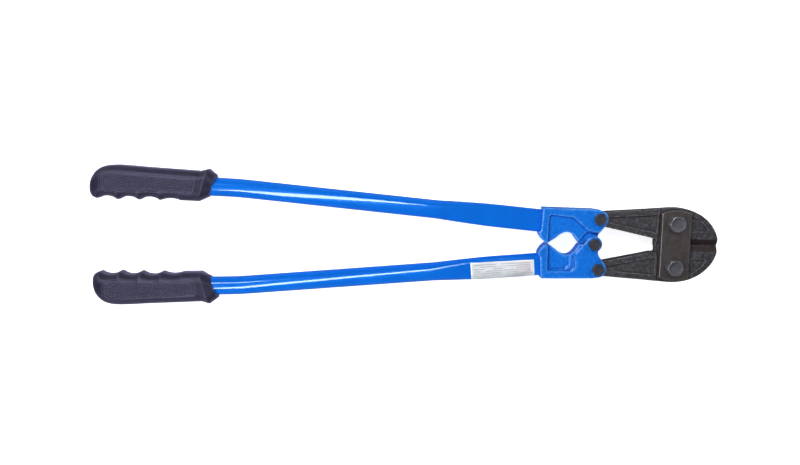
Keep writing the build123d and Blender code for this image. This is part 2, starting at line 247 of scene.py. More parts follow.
# ------------------------------------------------------------------ material helpers
class Nodes:
    """A few shorthands for building one material's node tree."""

    def __init__(self, name):
        self.material = bpy.data.materials.new(name)
        self.material.use_nodes = True
        self.tree = self.material.node_tree
        self.tree.nodes.clear()
        self.shader = self.tree.nodes.new("ShaderNodeBsdfPrincipled")
        output = self.tree.nodes.new("ShaderNodeOutputMaterial")
        self.tree.links.new(self.shader.outputs["BSDF"], output.inputs["Surface"])
        self.coord = self.tree.nodes.new("ShaderNodeTexCoord")

    def link(self, source, target):
        self.tree.links.new(source, target)

    def set(self, **values):
        for key, value in values.items():
            self.shader.inputs[key.replace("_", " ")].default_value = value

    def mapped(self, scale=(1, 1, 1), source="Object"):
        node = self.tree.nodes.new("ShaderNodeMapping")
        node.inputs["Scale"].default_value = scale
        self.link(self.coord.outputs[source], node.inputs["Vector"])
        return node.outputs["Vector"]

    def noise(self, size, detail=4.0, rough=0.55, vector=None, distortion=0.0):
        """Noise with features about size metres across."""
        node = self.tree.nodes.new("ShaderNodeTexNoise")
        node.inputs["Scale"].default_value = 1 / size
        node.inputs["Detail"].default_value = detail
        node.inputs["Roughness"].default_value = rough
        node.inputs["Distortion"].default_value = distortion
        self.link(vector or self.coord.outputs["Object"], node.inputs["Vector"])
        return node.outputs["Fac"]

    def cells(self, size):
        """Distance to the middle of rounded cells about size metres across."""
        node = self.tree.nodes.new("ShaderNodeTexVoronoi")
        node.inputs["Scale"].default_value = 1 / size
        self.link(self.coord.outputs["Object"], node.inputs["Vector"])
        return node.outputs["Distance"]

    def ramp(self, value, *stops):
        """A colour ramp from (position, colour or grey) stops."""
        node = self.tree.nodes.new("ShaderNodeValToRGB")
        elements = node.color_ramp.elements
        while len(elements) < len(stops):
            elements.new(0.5)
        for element, (position, colour) in zip(elements, stops):
            element.position = position
            if not isinstance(colour, tuple):
                colour = (colour, colour, colour)
            element.color = (*colour, 1.0)
        self.link(value, node.inputs["Fac"])
        return node.outputs["Color"]

    def attribute(self, name):
        node = self.tree.nodes.new("ShaderNodeAttribute")
        node.attribute_name = name
        return node.outputs["Fac"]

    def math(self, operation, a, b=None, clamp=False):
        node = self.tree.nodes.new("ShaderNodeMath")
        node.operation = operation
        node.use_clamp = clamp
        for socket, value in zip(node.inputs, (a, b)):
            if value is None:
                continue
            if isinstance(value, (int, float)):
                socket.default_value = value
            else:
                self.link(value, socket)
        return node.outputs["Value"]

    def times(self, a, b):
        return self.math("MULTIPLY", a, b)

    def mix(self, share, base, colour):
        """Lays a plain colour over base by share, 0 to 1."""
        node = self.tree.nodes.new("ShaderNodeMix")
        node.data_type = "RGBA"
        self.link(share, node.inputs[MIX_SHARE])
        self.link(base, node.inputs[MIX_A])
        node.inputs[MIX_B].default_value = (*colour, 1)
        return node.outputs[MIX_RESULT]

    def bump(self, height, distance, strength=1.0, normal=None):
        node = self.tree.nodes.new("ShaderNodeBump")
        node.inputs["Distance"].default_value = distance
        node.inputs["Strength"].default_value = strength
        self.link(height, node.inputs["Height"])
        if normal is not None:
            self.link(normal, node.inputs["Normal"])
        return node.outputs["Normal"]

    def colour(self, value):
        self.link(value, self.shader.inputs["Base Color"])

    def roughness(self, value):
        self.link(value, self.shader.inputs["Roughness"])

    def normal(self, value):
        self.link(value, self.shader.inputs["Normal"])


# ------------------------------------------------------------------ materials
def enamel(name, cast):
    """Gloss blue enamel: cloudy colour, painted shade in hollows, painted highlights along edges, chips,
    orange peel. Rougher on the castings.
    """
    n = Nodes(name)
    n.set(Metallic=0.0, IOR=1.45, Specular_Tint=(0.12, 0.42, 1.0, 1.0), Coat_Weight=0.6 if cast else 0.8,
          Coat_Roughness=0.14 if cast else 0.05, Coat_IOR=1.45, Coat_Tint=(0.7, 0.9, 1.0, 1.0))
    broad = n.noise(0.03, 3.0)
    fine = n.noise(0.0016 if cast else 0.004, 4.0)
    base = n.ramp(broad, (0.3, (0.0, 0.153, 0.70)), (0.7, (0.0, 0.175, 0.785)))
    base = n.mix(n.ramp(fine, (0.35, 0.0), (0.7, 0.7 if cast else 0.15)), base, (0.0, 0.205, 0.86))
    # painted shade: hollows turn a darker blue, as if in shadow
    base = n.mix(n.times(n.attribute("hollow"), 0.9), base, (0.0, 0.045, 0.38))
    # painted highlight: a dotted pale blue along the edges stands in for light glinting on the rims
    worn = n.ramp(n.noise(0.0026 if cast else 0.005, 5.0, 0.7), (0.40, 0.15), (0.58, 0.95))
    base = n.mix(n.times(n.attribute("edge"), worn), base, (0.20, 0.50, 1.0))
    chips = n.ramp(n.noise(0.0035, 6.0, 0.75), (0.735, 0.0), (0.76, 1.0))
    chips = n.math("MULTIPLY", chips, n.attribute("edge"), clamp=True)
    base = n.mix(chips, base, (0.08, 0.10, 0.14))
    n.colour(base)
    smooth, dull = (0.22, 0.40) if cast else (0.16, 0.30)
    n.roughness(n.ramp(n.noise(0.012, 6.0, 0.65), (0.3, smooth), (0.75, dull)))
    if cast:
        peel = n.bump(n.noise(0.0032, 4.0, 0.6), 0.0019)
        n.normal(n.bump(n.noise(0.0008, 2.0, 0.5), 0.00008, 0.6, peel))
    else:
        drawn = n.mapped((0.12, 1.0, 1.0))
        peel = n.bump(n.noise(0.006, 3.0, 0.5), 0.00006, 0.7)
        n.normal(n.bump(n.noise(0.0012, 3.0, 0.6, drawn), 0.000012, 0.5, peel))
    return n.material


def forged_steel(name):
    """Blackened forged jaws: grainy scale, specks, rust, a brown ground band, painted shade in hollows, worn
    corners, pits.
    """
    n = Nodes(name)
    n.set(Metallic=0.3, IOR=1.55, Specular_IOR_Level=0.42)
    black, charcoal, grey = (0.008, 0.0075, 0.011), (0.019, 0.018, 0.025), (0.055, 0.052, 0.064)
    base = n.ramp(n.noise(0.004, 8.0, 0.7), (0.38, black), (0.5, charcoal), (0.64, grey))
    specks = n.ramp(n.noise(0.0011, 3.0, 0.6), (0.66, 0.0), (0.74, 1.0))
    base = n.mix(n.times(specks, 0.6), base, (0.14, 0.135, 0.15))
    rust = n.ramp(n.noise(0.016, 5.0, 0.7), (0.5, 0.0), (0.72, 0.35))
    base = n.mix(rust, base, (0.045, 0.028, 0.026))
    ground = n.attribute("ground")
    streaks = n.ramp(n.noise(0.003, 4.0, 0.6, n.mapped((1.0, 0.2, 1.0))), (0.3, 0.45), (0.7, 0.9))
    base = n.mix(n.times(ground, streaks), base, (0.026, 0.012, 0.013))
    # painted shade: hollows turn darker, as if in shadow
    base = n.mix(n.times(n.attribute("hollow"), 0.8), base, (0.010, 0.009, 0.012))
    worn = n.ramp(n.noise(0.004, 5.0, 0.7), (0.35, 0.15), (0.65, 0.9))
    edge = n.times(n.attribute("edge"), worn)
    edge = n.times(edge, n.ramp(ground, (0.0, 1.0), (1.0, 0.25)))
    n.colour(n.mix(edge, base, (0.22, 0.21, 0.24)))
    n.roughness(n.ramp(n.noise(0.006, 6.0, 0.7), (0.3, 0.42), (0.75, 0.66)))
    forge = n.bump(n.noise(0.0036, 5.0, 0.6), 0.0013, 0.9)
    n.normal(n.bump(n.cells(0.0011), 0.00007, 0.5, forge))
    return n.material


def plate_steel(name):
    """Rolled plate, oiled black: grain along the plate, brown bloom, bright worn rim."""
    n = Nodes(name)
    n.set(Metallic=0.6, IOR=1.6)
    grain = n.noise(0.0012, 5.0, 0.65, n.mapped((1.0, 0.08, 1.0)))
    base = n.ramp(grain, (0.3, (0.050, 0.043, 0.044)), (0.7, (0.088, 0.076, 0.077)))
    bloom = n.ramp(n.noise(0.012, 5.0, 0.65), (0.4, 0.0), (0.7, 0.55))
    base = n.mix(bloom, base, (0.058, 0.045, 0.045))
    worn = n.ramp(n.noise(0.005, 5.0, 0.7), (0.35, 0.25), (0.6, 1.0))
    n.colour(n.mix(n.times(n.attribute("edge"), worn), base, (0.28, 0.25, 0.23)))
    n.roughness(n.ramp(n.noise(0.007, 6.0, 0.7), (0.3, 0.32), (0.75, 0.52)))
    rolled = n.bump(grain, 0.00005, 0.6)
    n.normal(n.bump(n.noise(0.004, 4.0, 0.6), 0.00012, 0.5, rolled))
    return n.material


def bolt_steel(name, dark, light, worn, rough):
    """Turned and treated bolts: concentric tool marks, blotches, specks, painted shade in the roots and
    hollows, worn corners.
    """
    n = Nodes(name)
    n.set(Metallic=0.55, IOR=1.6)
    base = n.ramp(n.noise(0.003, 6.0, 0.7), (0.3, dark), (0.75, light))
    specks = n.ramp(n.noise(0.0009, 3.0, 0.6), (0.64, 0.0), (0.74, 0.7))
    base = n.mix(specks, base, worn)
    # painted shade: roots and hollows turn near black, as if in shadow
    base = n.mix(n.times(n.attribute("hollow"), 0.8), base, (0.012, 0.011, 0.012))
    patchy = n.ramp(n.noise(0.003, 5.0, 0.7), (0.35, 0.2), (0.65, 0.9))
    n.colour(n.mix(n.times(n.attribute("edge"), patchy), base, worn))
    n.roughness(n.ramp(n.noise(0.004, 6.0, 0.7), (0.3, rough), (0.75, rough + 0.2)))
    rings = n.math("SINE", n.times(n.attribute("turning"), 18.0))
    marks = n.bump(rings, 0.00002, 0.6)
    n.normal(n.bump(n.noise(0.0014, 4.0, 0.6), 0.00008, 0.6, marks))
    return n.material


def rubber(name):
    """Moulded navy-black rubber: fine leathery skin, dust, painted shade in hollows, painted highlights on
    high spots.
    """
    n = Nodes(name)
    n.set(Metallic=0.0, IOR=1.5, Specular_IOR_Level=0.3, Specular_Tint=(0.68, 0.66, 1.0, 1.0),
          Sheen_Weight=0.5, Sheen_Roughness=0.42, Sheen_Tint=(0.50, 0.46, 0.90, 1.0))
    base = n.ramp(n.noise(0.018, 5.0, 0.6), (0.3, (0.006, 0.006, 0.015)), (0.7, (0.012, 0.012, 0.026)))
    dust = n.ramp(n.noise(0.0045, 7.0, 0.75), (0.5, 0.0), (0.8, 0.35))
    base = n.mix(dust, base, (0.030, 0.029, 0.054))
    # painted shade: hollows and the knurl's grooves turn near black, as if in shadow
    base = n.mix(n.times(n.attribute("hollow"), 0.95), base, (0.002, 0.002, 0.006))
    # painted highlight: high spots and the knurl's tips turn a light purple-grey, standing in for sheen
    n.colour(n.mix(n.times(n.attribute("edge"), 0.85), base, (0.105, 0.102, 0.160)))
    n.roughness(n.ramp(n.noise(0.009, 6.0, 0.65), (0.3, 0.36), (0.75, 0.56)))
    skin = n.bump(n.cells(0.0009), 0.00005, 0.5)
    n.normal(n.bump(n.noise(0.0035, 5.0, 0.6), 0.00010, 0.5, skin))
    return n.material


def foil(name):
    """Silver foil label: plain broken rules, a tinted field, patchy grey towards the fold, white border,
    creases.
    """
    n = Nodes(name)
    n.set(Metallic=0.25, IOR=1.5)
    split = n.tree.nodes.new("ShaderNodeSeparateXYZ")
    n.link(n.mapped(source="UV"), split.inputs["Vector"])
    along, across = split.outputs["X"], split.outputs["Y"]
    base = n.ramp(n.noise(0.010, 5.0, 0.65), (0.3, (0.72, 0.77, 0.82)), (0.7, (0.90, 0.94, 0.98)))
    inside = n.times(n.math("GREATER_THAN", along, 0.06), n.math("LESS_THAN", along, 0.94))
    inside = n.times(inside, n.math("GREATER_THAN", across, 0.10))
    inside = n.times(inside, n.math("LESS_THAN", across, 0.62))
    rule_count = 10.0
    rules = n.math("SINE", n.times(across, 2 * math.pi * rule_count))
    rules = n.ramp(rules, (0.35, 0.0), (0.55, 1.0))
    broken = n.ramp(n.noise(0.0035, 2.0, 0.4, n.mapped((0.35, 1.0, 1.0))), (0.40, 0.0), (0.46, 1.0))
    ink = n.times(n.times(rules, broken), inside)
    base = n.mix(n.times(ink, 0.55), base, (0.24, 0.22, 0.27))
    field = n.times(n.math("GREATER_THAN", along, 0.72), inside)
    base = n.mix(n.times(field, 0.25), base, (0.62, 0.45, 0.50))
    # greyer, in patches, towards the fold over the tube's outer edge
    grey_to_fold = n.ramp(n.noise(0.012, 4.0, 0.6, n.mapped((0.4, 1.0, 1.0))), (0.40, 0.15), (0.60, 1.0))
    grey_to_fold = n.times(n.ramp(across, (0.42, 0.0), (0.62, 0.75)), grey_to_fold)
    base = n.mix(grey_to_fold, base, (0.40, 0.42, 0.46))
    ends = n.math("ADD", n.math("LESS_THAN", along, 0.022), n.math("GREATER_THAN", along, 0.978))
    border = n.math("ADD", ends, n.math("LESS_THAN", across, 0.05), clamp=True)
    n.colour(n.mix(border, base, (0.97, 0.98, 1.0)))
    n.roughness(n.ramp(n.noise(0.006, 5.0, 0.7), (0.3, 0.26), (0.75, 0.46)))
    crease = n.bump(n.noise(0.009, 3.0, 0.5, n.mapped((1.0, 0.5, 1.0)), 0.6), 0.00018, 0.5)
    n.normal(n.bump(n.noise(0.0012, 3.0, 0.6), 0.00002, 0.4, crease))
    return n.material


MATERIALS = {
    "jaw_steel": forged_steel("jaw_steel"),
    "strap_steel": plate_steel("strap_steel"),
    "strap_bolt_steel": bolt_steel(
        "strap_bolt_steel", dark=(0.055, 0.056, 0.068), light=(0.120, 0.122, 0.145),
        worn=(0.32, 0.33, 0.36), rough=0.34),
    "pivot_bolt_steel": bolt_steel(
        "pivot_bolt_steel", dark=(0.009, 0.010, 0.016), light=(0.036, 0.037, 0.054),
        worn=(0.18, 0.17, 0.17), rough=0.36),
    "bracket_enamel": enamel("bracket_enamel", cast=True),
    "tube_enamel": enamel("tube_enamel", cast=False),
    "grip_rubber": rubber("grip_rubber"),
    "label_foil": foil("label_foil"),
}


# ------------------------------------------------------------------ cast, forged and plate pieces
def voxel_copy(node, name, voxel):
    """The node's shape as an object with small even faces, voxel millimetres across."""
    raw = bpy.data.meshes.new(name + "_raw")
    work = bmesh.new()
    work.from_mesh(frame["nodes"][node].data)
    bmesh.ops.remove_doubles(work, verts=work.verts, dist=2 * WELD)
    work.to_mesh(raw)
    work.free()
    obj = add_object(name, raw)
    remesh = obj.modifiers.new("remesh", "REMESH")
    remesh.mode = "VOXEL"
    remesh.voxel_size = voxel * MM
    depsgraph = bpy.context.evaluated_depsgraph_get()
    mesh = bpy.data.meshes.new_from_object(obj.evaluated_get(depsgraph))
    obj.modifiers.clear()
    obj.data = mesh
    mesh.name = name
    bpy.data.meshes.remove(raw)
    return obj


def softened(node, name, seed, voxel, swell, rounds, melt=0, spread=3, gain=2.5):
    """The node's shape with soft corners and an uneven skin, as a piece of its own.

    melt passes round the corners off, rounds passes take the steps out, and the skin then dips
    by up to twice swell millimetres. spread and gain say how widely and strongly edges are marked.
    """
    obj = voxel_copy(node, name, voxel)
    mesh = obj.data
    pairs = get_edges(mesh)
    co = get_points(mesh)
    for _ in range(melt):
        co = co + 0.5 * (neighbour_mean(co, pairs, len(co)) - co)
    co = fair(co, pairs, rounds)
    set_points(mesh, co)
    lumps = 0.65 * value_noise(co, 9 * MM, seed) + 0.35 * value_noise(co, 3 * MM, seed + 1)
    dip = swell * MM * (lumps - 1.0)
    set_points(mesh, clip_to_node(co + normals_of(mesh) * dip[:, None], node))
    mark_edges(mesh, voxel * MM, gain, spread)
    finish_mesh(mesh)
    return obj


def sharpen(obj):
    """Draws the remeshed cutting edge out to the parting line again, so that the edges meet."""
    left_open = 0.012
    co = get_points(obj.data) / MM
    away = np.abs(co[:, 1])
    beyond_straps = fade(co[:, 0], STRAP_HIGH[0] - 0.5, STRAP_HIGH[0] - 1.5)
    on_edge = fade(np.abs(co[:, 2] - MID), 0.21, 0.56)
    close = fade(away, 0.72, 1.32)
    pulled = away + (left_open - away) * on_edge * close * beyond_straps
    co[:, 1] = np.sign(co[:, 1]) * pulled
    set_points(obj.data, co * MM)


def mark_ground(obj):
    """Marks the ground band beside the cutting edge, so that it can be browner."""
    co = get_points(obj.data) / MM
    band = fade(np.abs(co[:, 1]), 7.4, 8.6)
    band *= fade(co[:, 0], STRAP_HIGH[0] - 1.0, STRAP_HIGH[0] - 3.0)
    store(obj.data, "ground", band)


_, STRAP_HIGH = box_mm("strap_front")
for side, seed in (("upper", 11), ("lower", 23)):
    jaw = softened("jaw_" + side, "forged_jaw_" + side, seed, voxel=0.46, swell=0.12, rounds=8,
                   melt=3, spread=4, gain=3.0)
    sharpen(jaw)
    mark_ground(jaw)
    adopt(jaw, "jaw_" + side)
    bracket = softened("bracket_" + side, "cast_bracket_" + side, seed + 4, voxel=0.44, swell=0.18, rounds=8,
                       melt=19, spread=7, gain=3.3)
    adopt(bracket, "bracket_" + side)
for side, seed in (("front", 31), ("rear", 41)):
    plate = softened("strap_" + side, "strap_plate_" + side, seed, voxel=0.42, swell=0.04, rounds=6)
    adopt(plate, "strap_" + side)


# ------------------------------------------------------------------ turned pieces
M12 = {"flats": 18.0, "shank": 6.0, "head": 7.5, "bore": 6.05, "pitch": 1.75}
M8 = {"flats": 13.0, "shank": 4.0, "head": 5.3, "bore": 4.05, "pitch": 1.25}
CHAMFER_SLOPE = math.tan(math.radians(60))
CHAMFER_STEPS = 9
FACE_INSET = 0.25
CORNER_ROUND = 0.22


def hex_radius(angle, flats):
    """Distance from the axis to a hexagon with corners along X."""
    turn = np.mod(angle, math.pi / 3) - math.pi / 6
    return flats / 2 / np.cos(turn)


def turned(name, centre, rings, around=96, start=0.0, sweep=2 * math.pi):
    """A turned piece from (z, radius, flats or None) rings, in millimetres."""
    full = sweep >= 2 * math.pi
    angles = start + np.linspace(0, sweep, around + (0 if full else 1), endpoint=not full)
    layers = []
    for z, radius, flats in rings:
        r = np.full(len(angles), float(radius))
        if flats:
            corner = flats / math.sqrt(3) - CORNER_ROUND
            r = np.minimum(np.minimum(r, hex_radius(angles, flats)), corner)
        layers.append(np.stack([centre[0] + r * np.cos(angles), centre[1] + r * np.sin(angles),
                                np.full(len(angles), z)], axis=1))
    mesh = grid_mesh(name, layers, closed=full)
    co = get_points(mesh)
    store(mesh, "turning", np.hypot(co[:, 0] - centre[0] * MM, co[:, 1] - centre[1] * MM) / MM)
    clean(mesh, weld=True)
    return add_object(name, mesh)


def finish_turned(obj, node, sharp_degrees, gain):
    finish_mesh(obj.data, sharp_degrees)
    mark_edges(obj.data, 0.5 * MM, gain)
    adopt(obj, node)


def node_axis(node):
    """Centre, lowest and highest z and half width of a node that is turned about a vertical axis."""
    low, high = box_mm(node)
    return (low[:2] + high[:2]) / 2, low[2], high[2], (high[0] - low[0]) / 2


def plain(*points):
    """Round rings from (z, radius) points."""
    return [(z, radius, None) for z, radius in points]


def chamfered(flats, low, high, both_ends):
    """Rings up the outside of a hexagon with its upper corners turned off, or those at both ends."""
    run = flats / 18 + 0.15
    face = flats / 2 - FACE_INSET
    rises = [run * k / CHAMFER_STEPS for k in range(CHAMFER_STEPS + 1)]
    if both_ends:
        rings = [(low + rise, face + rise * CHAMFER_SLOPE, flats) for rise in rises]
    else:
        rings = [(low, flats, flats)]
    rings += [(z, flats, flats) for z in np.linspace(rings[-1][0], high - run, 7)[1:]]
    rings += [(high - rise, face + rise * CHAMFER_SLOPE, flats) for rise in rises[-2::-1]]
    return rings


def thread_rings(start, end, radius, pitch):
    """Shallow rounded grooves from start as far as whole turns reach."""
    rings = []
    z = start
    while z + pitch < end:
        rings += plain((z + 0.12, radius - 0.05), (z + pitch / 2, radius - 0.55),
                       (z + pitch - 0.12, radius - 0.05))
        z += pitch
    return rings


def bolt_piece(node, size):
    """Hexagon head with a washer face and a dished, turned top, over a chamfered shank."""
    centre, bottom, top, _ = node_axis(node)
    shank, half = size["shank"], size["flats"] / 2
    seat = top - size["head"]
    chamfer = 0.9
    washer_face = 0.35
    rings = plain((bottom, 0.0), (bottom, shank - chamfer), (bottom + chamfer, shank - 0.05))
    rings += thread_rings(bottom + chamfer, bottom + 7.5, shank, size["pitch"])
    rings += plain((bottom + 8.5, shank), (seat, shank), (seat, half - 0.4),
                   (seat + washer_face, half - 0.35))
    rings += chamfered(size["flats"], seat + washer_face, top, both_ends=False)
    face = half - FACE_INSET
    rings += plain((top, face * 0.93), (top - 0.02, face * 0.88), (top - 0.16, face * 0.84),
                   (top - 0.20, face * 0.5), (top - 0.20, face * 0.2), (top - 0.20, 0.0))
    finish_turned(turned(node + "_piece", centre, rings), node, 28, 1.2)


def nut_piece(node, size):
    """Hexagon nut, chamfered at both ends and countersunk."""
    centre, bottom, top, _ = node_axis(node)
    bore, half = size["bore"], size["flats"] / 2
    rings = plain((bottom + 0.8, bore), (bottom, bore + 0.75), (bottom, half - 0.9))
    rings += chamfered(size["flats"], bottom, top, both_ends=True)
    rings += plain((top, bore + 0.6), (top - 0.6, bore), (bottom + 0.8, bore))
    finish_turned(turned(node + "_piece", centre, rings), node, 28, 1.2)


def washer_piece(node, bore):
    """Punched washer: rolled over on its lower rim, sharper on its upper one."""
    centre, bottom, top, outer = node_axis(node)
    rings = plain((bottom + 0.15, bore), (bottom, bore + 0.15), (bottom, outer - 0.45),
                  (bottom + 0.1, outer - 0.15), (bottom + 0.35, outer), (top - 0.2, outer),
                  (top, outer - 0.2), (top, bore + 0.15), (top - 0.15, bore), (bottom + 0.15, bore))
    finish_turned(turned(node + "_piece", centre, rings), node, 40, 0.8)


def pin_piece(node):
    """A slotted roll pin."""
    wall = 0.95
    half_slot = 0.42
    centre, bottom, top, outer = node_axis(node)
    rings = plain((bottom, outer - wall), (bottom, outer - 0.4), (bottom + 0.15, outer - 0.2),
                  (bottom + 0.6, outer), (top - 0.6, outer), (top - 0.15, outer - 0.2),
                  (top, outer - 0.4), (top, outer - wall), (bottom, outer - wall))
    obj = turned(node + "_piece", centre, rings, 48, half_slot, 2 * math.pi - 2 * half_slot)
    clean(obj.data, fill=True)
    finish_turned(obj, node, 40, 0.8)


for side in ("upper", "lower"):
    bolt_piece("strap_bolt_" + side, M12)
    nut_piece("strap_nut_" + side, M12)
    bolt_piece("link_bolt_" + side, M8)
    nut_piece("link_nut_" + side, M8)
    washer_piece("link_washer_" + side, M8["bore"])
    pin_piece("retaining_pin_" + side)
bolt_piece("centre_bolt", M8)
nut_piece("centre_nut", M8)
washer_piece("centre_washer", M8["bore"])


# ------------------------------------------------------------------ handle tubes
TUBE_OD = 22.0
TUBE_WALL = 2.0
TUBE_SLOPE = math.tan(math.radians(5.17))
GRIP_SLOPE = math.tan(math.radians(1.8))
TUBE_REF = (29.5, 38.2)
BEND_X, BEND_HALF = -198.5, 11.8
FLAT_FROM_X, FLAT_TO_X = 37.5, 102.5
FLAT_WIDTH, FLAT_THICK = 27.3, 12.5
TUBE_FLAT = 0.05
TUBE_LOW, TUBE_HIGH = box_mm("tube_upper")


def axis_y(x):
    """Distance of the tube's axis from the centre line, in millimetres."""
    x = np.asarray(x, float)
    line = TUBE_REF[1] - (x - TUBE_REF[0]) * TUBE_SLOPE
    bend_y = TUBE_REF[1] - (BEND_X - TUBE_REF[0]) * TUBE_SLOPE
    tail = bend_y - (x - BEND_X) * GRIP_SLOPE
    share = np.clip((x - BEND_X + BEND_HALF) / (2 * BEND_HALF), 0, 1)
    blend = tail - (TUBE_SLOPE - GRIP_SLOPE) * BEND_HALF * share**2
    return np.where(x >= BEND_X + BEND_HALF, line, np.where(x <= BEND_X - BEND_HALF, tail, blend))


def tube_size(x):
    """Width and thickness of the tube at x, with the ends of the flattening eased."""
    spread = np.linspace(-7, 7, 15)
    u = np.clip((x + spread - FLAT_FROM_X) / (FLAT_TO_X - FLAT_FROM_X), 0, 1)
    halfway = (TUBE_OD + FLAT_WIDTH) / 2 + 0.5
    width = TUBE_OD * (2 * (u - 0.5) * (u - 1)) + halfway * 4 * u * (1 - u) + FLAT_WIDTH * 2 * u * (u - 0.5)
    thick = TUBE_OD + (FLAT_THICK - TUBE_OD) * u
    return float(width.mean()) + TUBE_FLAT, float(thick.mean())


def stadium(width, thick, bend=40, flat=10):
    """Points round a stadium, width along the first axis."""
    radius = thick / 2
    half = max(width / 2 - radius, 0.02)
    points = []
    for sign in (1, -1):
        for k in range(bend):
            angle = (-90 + 180 * k / bend) * math.pi / 180
            points.append((sign * (half + radius * math.cos(angle)), sign * radius * math.sin(angle)))
        for k in range(flat):
            points.append((sign * (half - 2 * half * k / flat), sign * radius))
    return np.array(points)


def tube_ring(x, grow, side):
    """One section of the tube, square to its axis."""
    width, thick = tube_size(x)
    section = stadium(width + 2 * grow, thick + 2 * grow)
    slope = float(axis_y(x + 0.5) - axis_y(x - 0.5))
    length = math.hypot(1, slope)
    across = np.array([-slope / length, 1 / length])
    points = np.empty((len(section), 3))
    points[:, 0] = x + across[0] * section[:, 0]
    points[:, 1] = side * (float(axis_y(x)) + across[1] * section[:, 0])
    points[:, 2] = MID + section[:, 1]
    return points


def tube_piece(name, node, side):
    """Drawn tube, with sections closer together at the bend and along the flattening."""
    start, end = TUBE_LOW[0] + 0.35, TUBE_HIGH[0] - 1.25
    bend_from, bend_to = BEND_X - 16, BEND_X + 16
    flat_from, flat_to = 28, 114
    stations = np.concatenate([
        np.arange(start, bend_from, 4.0), np.arange(bend_from, bend_to, 1.5),
        np.arange(bend_to, flat_from, 5.0), np.arange(flat_from, flat_to, 1.25),
        np.arange(flat_to, end, 3.0), [end]])
    rings = [tube_ring(x, 0.0, side) for x in stations]
    rings += [tube_ring(x, -TUBE_WALL, side) for x in stations[::-1]]
    rings.append(rings[0])
    mesh = grid_mesh(name, rings, flip=side > 0)
    clean(mesh, weld=True)
    finish_mesh(mesh, 50)
    for layer_name in ("edge", "hollow"):
        store(mesh, layer_name, np.zeros(len(mesh.vertices)))
    adopt(add_object(name, mesh), node)


tube_piece("handle_tube_upper", "tube_upper", 1)
tube_piece("handle_tube_lower", "tube_lower", -1)


# ------------------------------------------------------------------ grips
GRIP_LOW, GRIP_HIGH = box_mm("grip_upper")
BUTT_X, COLLAR_X = GRIP_LOW[0], GRIP_HIGH[0]
GRIP_HALF = 16.5
GRIP_ROUND = 12.0
INNER_Y = 43.2
GROOVES = ((-352.8, 4.2), (-327.7, 4.0), (-302.7, 3.8), (-277.7, 2.4))
GROOVE_SPAN = 23.4
PANEL_LEFT, PANEL_RIGHT = -356.8, -248.3
PANEL_INNER = 52.6
PANEL_OUTER, PANEL_TAPER = 74.6, 6.6
PANEL_CORNER = 7.0
PANEL_EASE = 0.9
PANEL_SHIFT = {1: 0.4, -1: 2.2}
FACE_FROM = GRIP_HALF * 0.72
KNURL_PITCH = 2.3
KNURL_TALL = 0.95


def groove_depth(x):
    """How far the finger grooves cut into the inner side at x."""
    depth = np.zeros_like(x)
    for centre, deep in GROOVES:
        radius = ((GROOVE_SPAN / 2) ** 2 + deep**2) / (2 * deep)
        away = np.clip(np.abs(x - centre), 0, GROOVE_SPAN / 2)
        depth = np.maximum(depth, deep - radius + np.sqrt(radius**2 - away**2))
    return depth


def soften(values, window):
    """A running mean that leaves the first and last value where they are."""
    pad = window // 2
    before = 2 * values[0] - values[pad:0:-1]
    after = 2 * values[-1] - values[-2:-pad - 2:-1]
    kernel = np.hanning(window + 2)[1:-1]
    return np.convolve(np.concatenate([before, values, after]), kernel / kernel.sum(), "valid")


def rounded_ring(width, half, radius, corner=22, flat=40, wall=8):
    """Points round a rounded rectangle, starting in the middle of the outer wall."""
    radius = min(radius, width / 2 - 0.05, half - 0.05)
    a, b = width / 2 - radius, half - radius
    points = []

    def arc(ca, cb, start):
        for k in range(corner):
            angle = math.radians(start + 90 * k / corner)
            points.append((ca + radius * math.cos(angle), cb + radius * math.sin(angle)))

    def line(p, q, count):
        for k in range(count):
            share = k / count
            points.append((p[0] + (q[0] - p[0]) * share, p[1] + (q[1] - p[1]) * share))

    line((width / 2, 0), (width / 2, b), wall // 2)
    arc(a, b, 0)
    line((a, half), (-a, half), flat)
    arc(-a, b, 90)
    line((-width / 2, b), (-width / 2, -b), wall)
    arc(-a, -b, 180)
    line((-a, -half), (a, -half), flat)
    arc(a, -b, 270)
    line((width / 2, -b), (width / 2, 0), wall // 2)
    return np.array(points)


def panel_distance(x, y, side):
    """Signed distance inside the knurled panel: positive inside. Left end round, right end slanted."""
    y = y - PANEL_SHIFT[side]
    outer = PANEL_OUTER - (x - PANEL_LEFT) * PANEL_TAPER / (PANEL_RIGHT - PANEL_LEFT)
    from_right = (PANEL_RIGHT - 2.5 + (y - PANEL_INNER) * 0.22) - x
    middle = (PANEL_INNER + outer) / 2
    half = (outer - PANEL_INNER) / 2
    dx = np.maximum(PANEL_LEFT + PANEL_CORNER - x, 0)
    dy = np.maximum(np.abs(y - middle) - (half - PANEL_CORNER), 0)
    rounded = PANEL_CORNER - np.hypot(dx, dy)
    left = np.where(x < PANEL_LEFT + PANEL_CORNER, rounded, half - np.abs(y - middle))
    return np.minimum(left, from_right)


def knurl(x, y):
    """Pyramids between two sets of V grooves at 45 degrees, 0 in the grooves to 1 at the tips."""
    scale = math.sqrt(0.5) / KNURL_PITCH
    one = np.abs(np.mod((x + y) * scale, 1.0) - 0.5) * 2
    two = np.abs(np.mod((x - y) * scale, 1.0) - 0.5) * 2
    return 1 - np.maximum(one, two)


def textured(rings, middle_y, side):
    """Sinks the knurled panel and a shallow rim round it, and raises the mould seam."""
    x, y, z = rings[..., 0], rings[..., 1], rings[..., 2]
    inside = panel_distance(x, y, side)
    facing = np.abs(z) > FACE_FROM
    panel = fade(inside, PANEL_EASE, 0.0) * facing
    rim = np.exp(-((inside + 1.3) / 0.9) ** 2) * facing
    lift = panel * (KNURL_TALL * knurl(x, y) - 1.0) - 0.22 * rim
    seam = np.exp(-(z / 0.5) ** 2) * 0.14
    return np.stack([x, y + np.sign(y - middle_y) * seam, z + np.sign(z) * lift], axis=-1)


